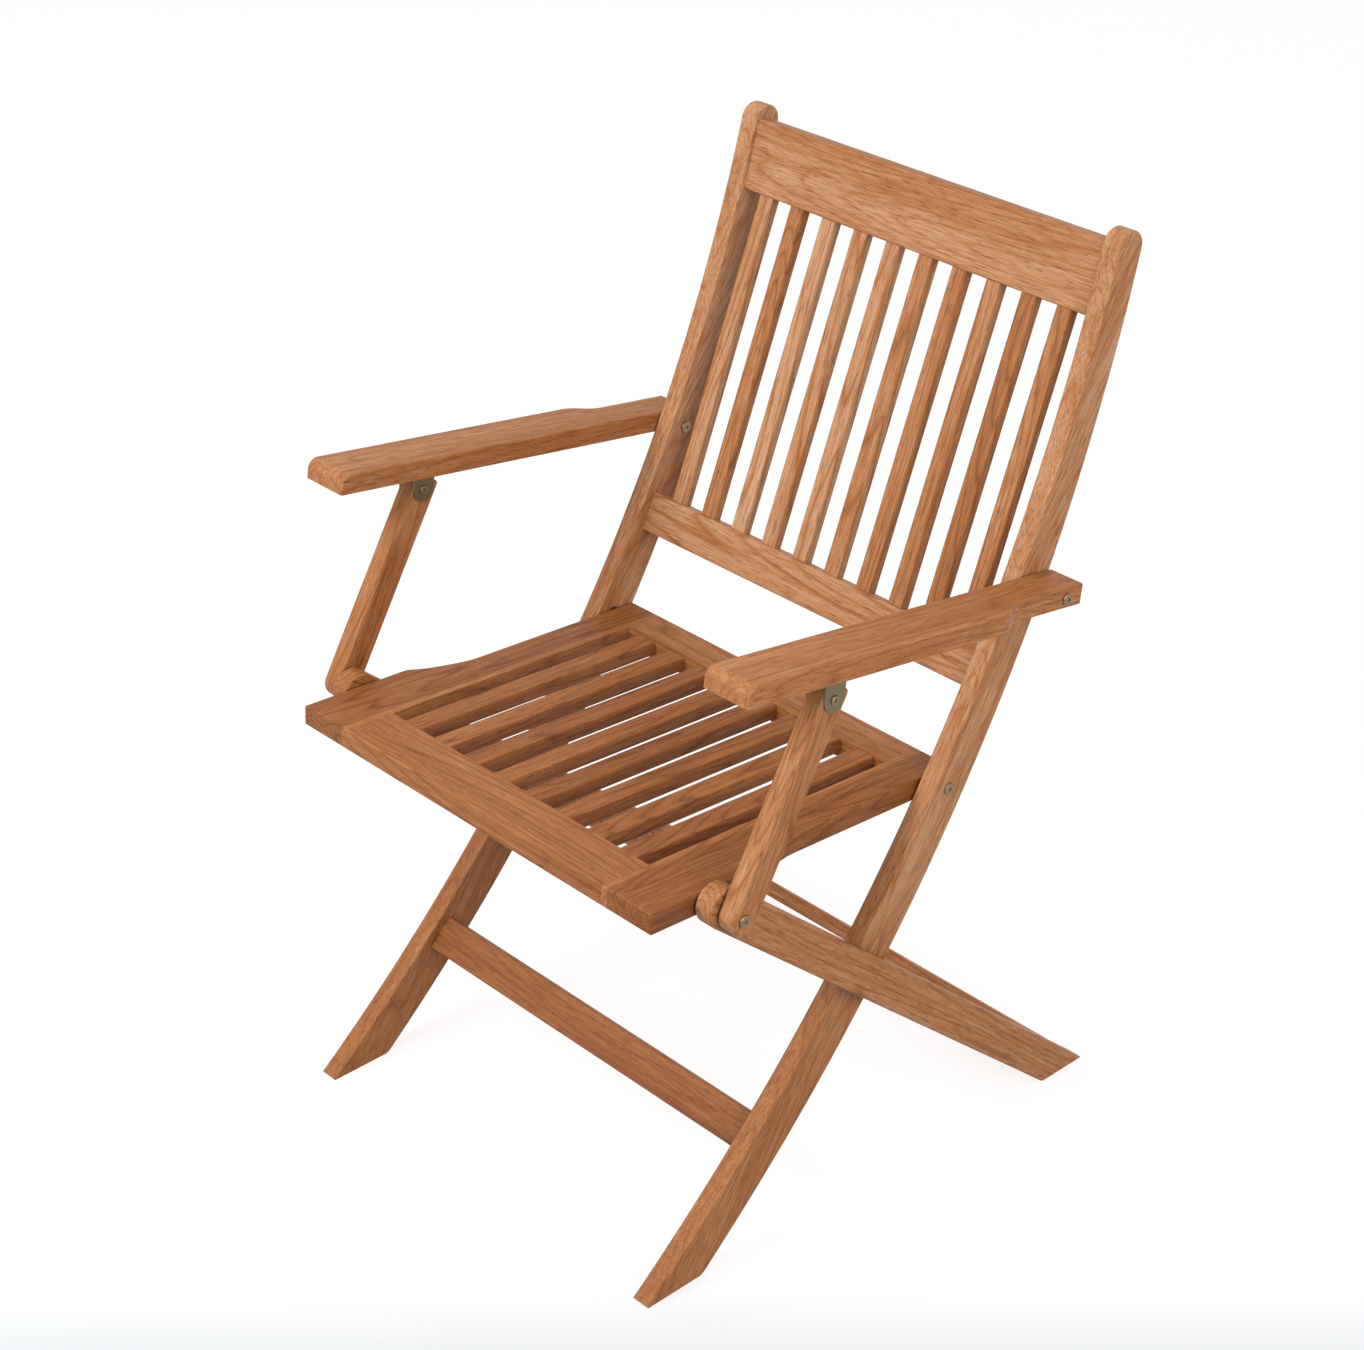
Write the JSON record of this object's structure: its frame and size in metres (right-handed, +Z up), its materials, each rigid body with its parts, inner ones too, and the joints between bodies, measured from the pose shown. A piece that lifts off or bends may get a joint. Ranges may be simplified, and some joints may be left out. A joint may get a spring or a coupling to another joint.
{
  "type": "folding garden armchair",
  "caption": "Folding hardwood garden armchair with a slatted seat, a tall slatted back, pivoting arms and crossed legs that close flat.",
  "frame": {"origin": "floor level, at the centre of the footprint of the opened chair", "axes": "+Z up, the chair faces -Y, +X is the sitter's left"},
  "size_m": [0.5992, 0.6149, 0.886],
  "materials": {
    "hardwood": "satin",
    "bolt_metal": "satin",
    "bracket_metal": "aged satin"
  },
  "bodies": {
    "back_frame": {"post_left": "hardwood", "post_right": "hardwood", "top_rail": "hardwood", "lower_back_rail": "hardwood", "back_slats": "hardwood", "front_stretcher": "hardwood", "seat_rear_bolt_left": "bolt_metal", "seat_rear_bolt_right": "bolt_metal", "arm_rear_bolt_left": "bolt_metal", "arm_rear_bolt_right": "bolt_metal"},
    "seat": {"seat_side_rail_left": "hardwood", "seat_side_rail_right": "hardwood", "seat_front_rail": "hardwood", "seat_rear_rail": "hardwood", "seat_slats": "hardwood", "seat_front_bolt_left": "bolt_metal", "seat_front_bolt_right": "bolt_metal"},
    "rear_legs": {"rear_leg_left": "hardwood", "rear_leg_right": "hardwood", "rear_stretcher": "hardwood"},
    "left_arm": {"arm_left": "hardwood", "arm_bracket_left": "bracket_metal", "bracket_rivet_left": "bolt_metal"},
    "right_arm": {"arm_right": "hardwood", "arm_bracket_right": "bracket_metal", "bracket_rivet_right": "bolt_metal"},
    "left_support": {"arm_strut_left": "hardwood"},
    "right_support": {"arm_strut_right": "hardwood"}
  },
  "joints": [
    {"name": "seat_fold", "type": "hinge", "parent": "back_frame", "child": "seat", "pos_m": [0, 0.0752, 0.3929], "axis": [-1, 0, 0], "range_deg": [0, 104]},
    {"name": "rear_leg_fold", "type": "hinge", "parent": "seat", "child": "rear_legs", "pos_m": [0, -0.2305, 0.4094], "axis": [1, 0, 0], "range_deg": [0, 31.2]},
    {"name": "left_arm_fold", "type": "hinge", "parent": "back_frame", "child": "left_arm", "pos_m": [0.27, 0.1791, 0.5704], "axis": [-1, 0, 0], "range_deg": [0, 104]},
    {"name": "right_arm_fold", "type": "hinge", "parent": "back_frame", "child": "right_arm", "pos_m": [-0.27, 0.1791, 0.5704], "axis": [-1, 0, 0], "range_deg": [0, 104]},
    {"name": "left_support_fold", "type": "hinge", "parent": "seat", "child": "left_support", "pos_m": [0.278, -0.2305, 0.4094], "axis": [1, 0, 0], "range_deg": [0, 104]},
    {"name": "right_support_fold", "type": "hinge", "parent": "seat", "child": "right_support", "pos_m": [-0.278, -0.2305, 0.4094], "axis": [1, 0, 0], "range_deg": [0, 104]}
  ],
  "couplings": [
    {"joint": "rear_leg_fold", "follows": "seat_fold", "ratio": 0.3},
    {"joint": "left_arm_fold", "follows": "seat_fold", "ratio": 1},
    {"joint": "right_arm_fold", "follows": "seat_fold", "ratio": 1},
    {"joint": "left_support_fold", "follows": "seat_fold", "ratio": 1},
    {"joint": "right_support_fold", "follows": "seat_fold", "ratio": 1}
  ]
}
